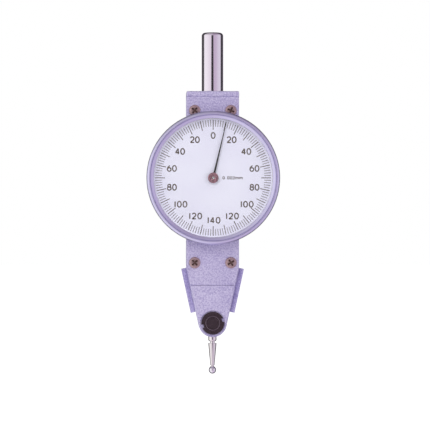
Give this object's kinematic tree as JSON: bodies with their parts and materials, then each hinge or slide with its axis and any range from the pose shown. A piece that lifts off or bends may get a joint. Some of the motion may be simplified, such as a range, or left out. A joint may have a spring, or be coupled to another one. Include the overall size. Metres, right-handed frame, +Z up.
{
  "type": "dial test indicator",
  "caption": "Lever-type dial test indicator: clamping stem, slim case with side dovetails, turning bezel with dial and hand, and a ball-tipped contact point on a friction-held pivot.",
  "frame": {"origin": "on the stem's axis at the shoulder where the stem meets the case", "axes": "+Z up along the stem towards its free end, -Y out of the dial towards the reader, +X to the reader's right"},
  "size_m": [0.0364, 0.0157, 0.0944],
  "materials": {
    "satin_chrome": "satin",
    "black_oxide": "satin",
    "screw_steel": "satin",
    "silvered_dial": "matte",
    "crystal_glass": "polished",
    "brass": "satin",
    "steel": "polished",
    "spring_alloy": "satin",
    "ruby": "polished",
    "black_lacquer": "gloss",
    "bronze_hub": "satin",
    "carbide": "polished"
  },
  "bodies": {
    "case": {"case_body": "satin_chrome", "stem": "satin_chrome", "front_plate": "satin_chrome", "front_plate_screws": "screw_steel", "dial_pan": "satin_chrome", "dial_pan_screws": "screw_steel", "bezel_snap_ring": "spring_alloy", "movement_rear_plate": "brass", "movement_bridge": "brass", "movement_pillars": "brass", "bridge_screws": "screw_steel", "movement_fixing_screws": "screw_steel", "train_jewels": "ruby", "hairspring": "spring_alloy", "hairspring_stud": "brass", "fulcrum_bearing_cap": "black_oxide", "fulcrum_rear_bush": "steel", "fulcrum_jewels": "ruby", "lever_stop_pins": "steel"},
    "bezel": {"bezel_ring": "satin_chrome", "crystal": "crystal_glass", "dial_spacer_ring": "brass", "dial_face": "silvered_dial", "dial_retaining_ring": "spring_alloy"},
    "hand": {"centre_pinion": "steel", "hairspring_collet": "brass", "pointer_hub": "bronze_hub", "pointer": "black_lacquer"},
    "intermediate": {"intermediate_pinion": "steel", "intermediate_wheel": "brass"},
    "sector": {"sector_arbor": "steel", "sector_gear": "brass"},
    "fulcrum": {"fulcrum_shaft": "steel", "fulcrum_lever": "steel", "lever_drive_pin": "steel", "clutch_spring_washer": "spring_alloy", "clutch_nut": "steel"},
    "stylus": {"stylus_holder": "steel", "contact_point": "steel", "contact_ball": "carbide"}
  },
  "joints": [
    {"name": "hand_turn", "type": "hinge", "parent": "case", "child": "hand", "pos_m": [0, 0, -0.02395], "axis": [0, 1, 0], "range_deg": [-205.7, 205.7], "stiffness_Nm_per_rad": 0.0000025, "deforming": ["hairspring"]},
    {"name": "intermediate_turn", "type": "hinge", "parent": "case", "child": "intermediate", "pos_m": [0, 0, -0.03025], "axis": [0, 1, 0], "range_deg": [-34.3, 34.3]},
    {"name": "sector_turn", "type": "hinge", "parent": "case", "child": "sector", "pos_m": [0, 0, -0.04345], "axis": [0, 1, 0], "range_deg": [-3.43, 3.43]},
    {"name": "lever_swing", "type": "hinge", "parent": "case", "child": "fulcrum", "pos_m": [0, 0, -0.0639], "axis": [0, 1, 0], "range_deg": [-0.7, 0.7]},
    {"name": "stylus_clutch", "type": "hinge", "parent": "fulcrum", "child": "stylus", "pos_m": [0, 0, -0.0639], "axis": [0, 1, 0], "range_deg": [-100, 100]},
    {"name": "bezel_turn", "type": "hinge", "parent": "case", "child": "bezel", "pos_m": [0, 0, -0.02395], "axis": [0, 1, 0], "continuous": true}
  ],
  "couplings": [
    {"joint": "intermediate_turn", "follows": "hand_turn", "ratio": -0.16667},
    {"joint": "sector_turn", "follows": "hand_turn", "ratio": 0.016667},
    {"joint": "lever_swing", "follows": "hand_turn", "ratio": -0.0034018}
  ]
}
